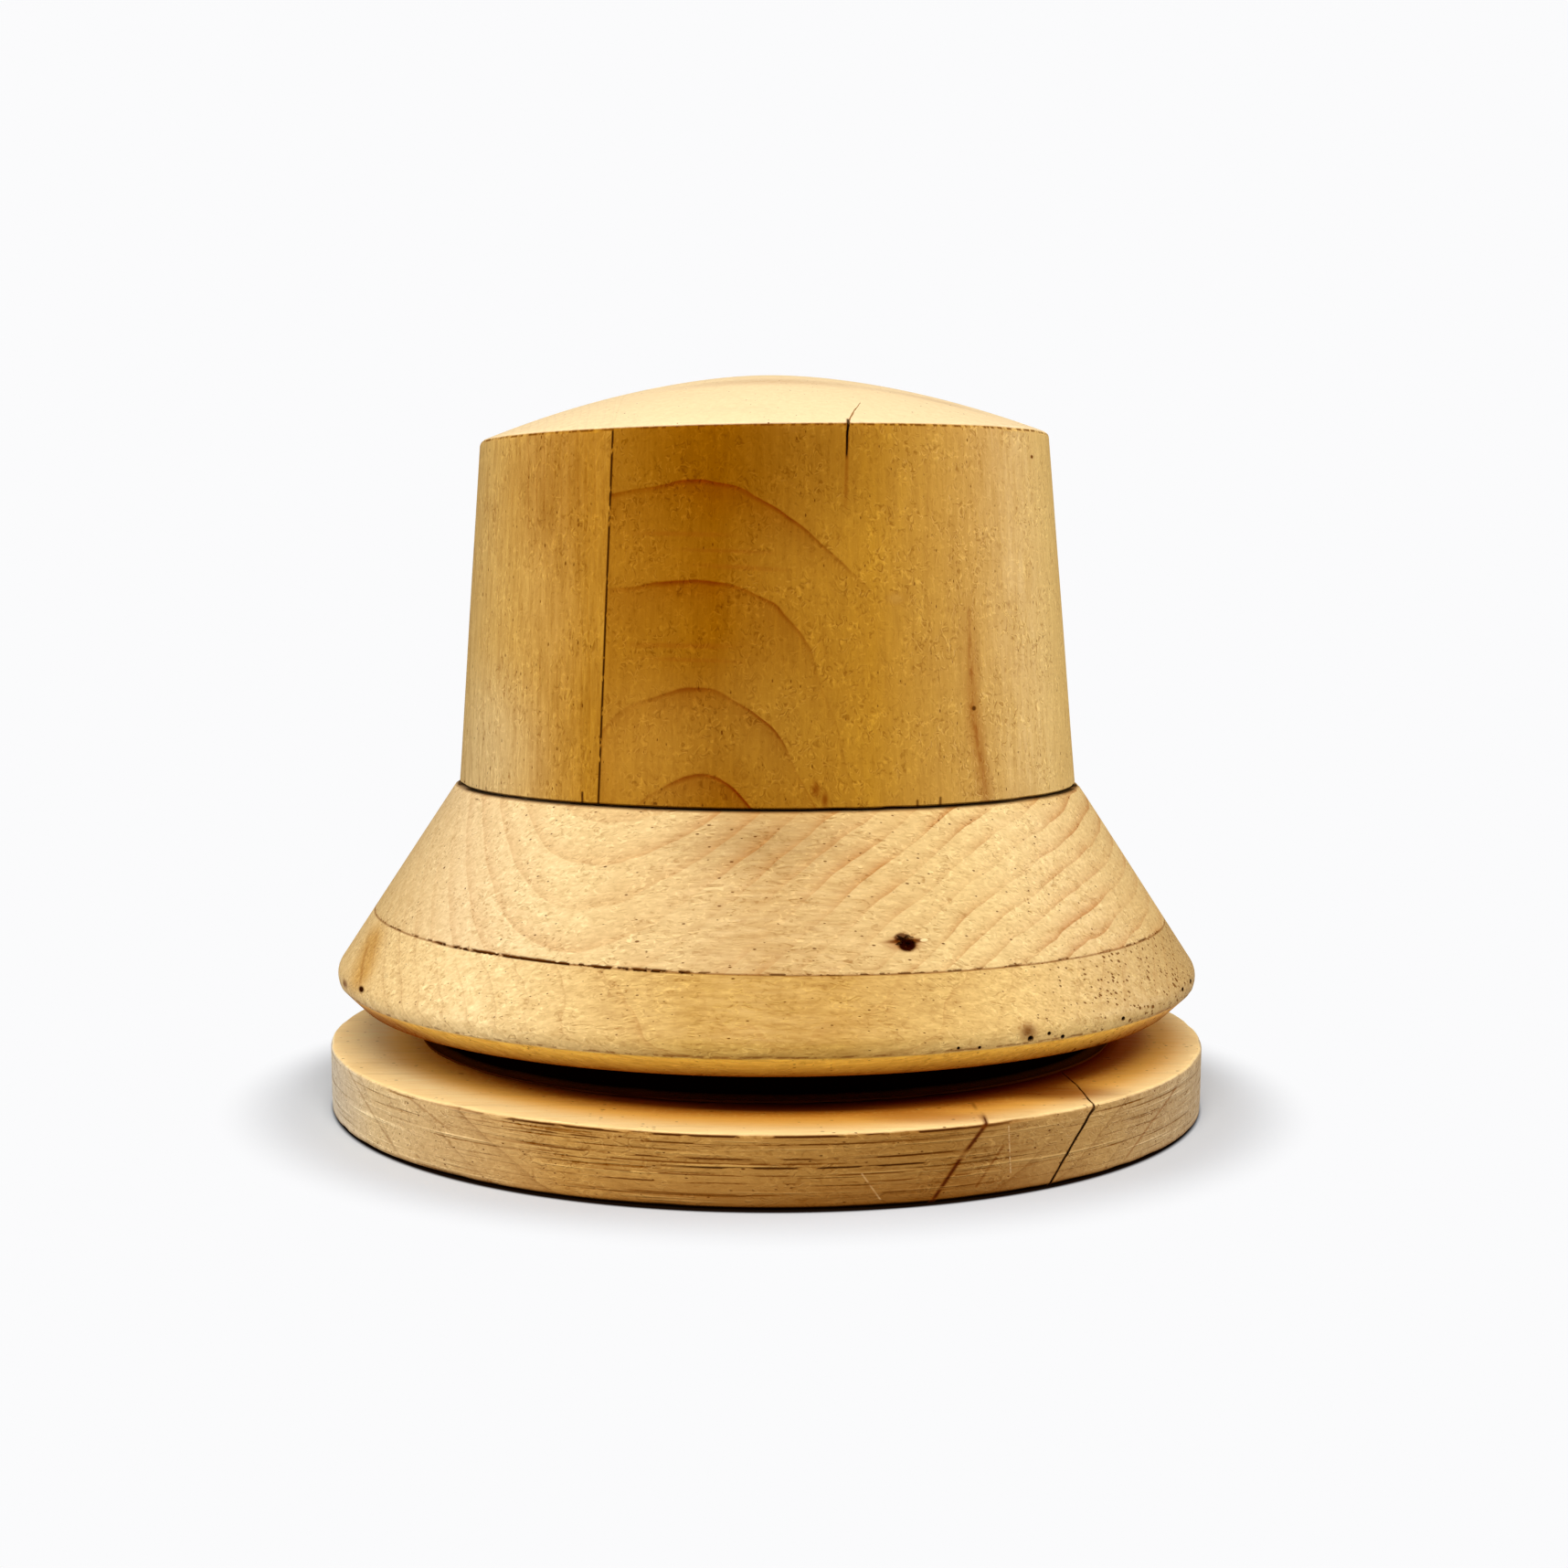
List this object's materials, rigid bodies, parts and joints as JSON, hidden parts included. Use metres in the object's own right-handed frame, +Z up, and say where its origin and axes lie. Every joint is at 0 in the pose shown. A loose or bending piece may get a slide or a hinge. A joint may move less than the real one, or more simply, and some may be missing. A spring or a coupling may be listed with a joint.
{
  "type": "hat block",
  "caption": "Oval wooden hat block: a domed crown that lifts off a sloping brim block, above an undercut rope groove and an oval base board.",
  "frame": {"origin": "middle of the base board's underside, where the block stands", "axes": "+X along the head oval towards the hat's front, +Y across it, +Z up through the crown"},
  "size_m": [0.2798, 0.2468, 0.23],
  "materials": {
    "crown_wood_plain": "satin, vertical straight grain",
    "crown_wood_figured": "satin, flat-sawn arched figure",
    "brim_wood_upper": "satin, worn smooth",
    "brim_wood_lower": "satin, worn smooth, small pores",
    "base_wood": "satin top, rougher turned wall",
    "dowel_birch": "matt, sanded",
    "screw_brass": "dulled"
  },
  "bodies": {
    "brim_and_base": {"brim_upper_board": "brim_wood_upper", "brim_lower_board": "brim_wood_lower", "base_board": "base_wood", "locating_dowel_rear": "dowel_birch", "locating_dowel_front": "dowel_birch", "base_screw_1": "screw_brass", "base_screw_2": "screw_brass", "base_screw_3": "screw_brass", "base_screw_4": "screw_brass", "base_screw_5": "screw_brass", "base_screw_6": "screw_brass"},
    "crown": {"crown_left_board": "crown_wood_plain", "crown_right_board": "crown_wood_figured"}
  },
  "joints": [
    {"name": "crown_lift", "type": "slide", "parent": "brim_and_base", "child": "crown", "axis": [0, 0, 1], "range_m": [0, 0.08]}
  ]
}
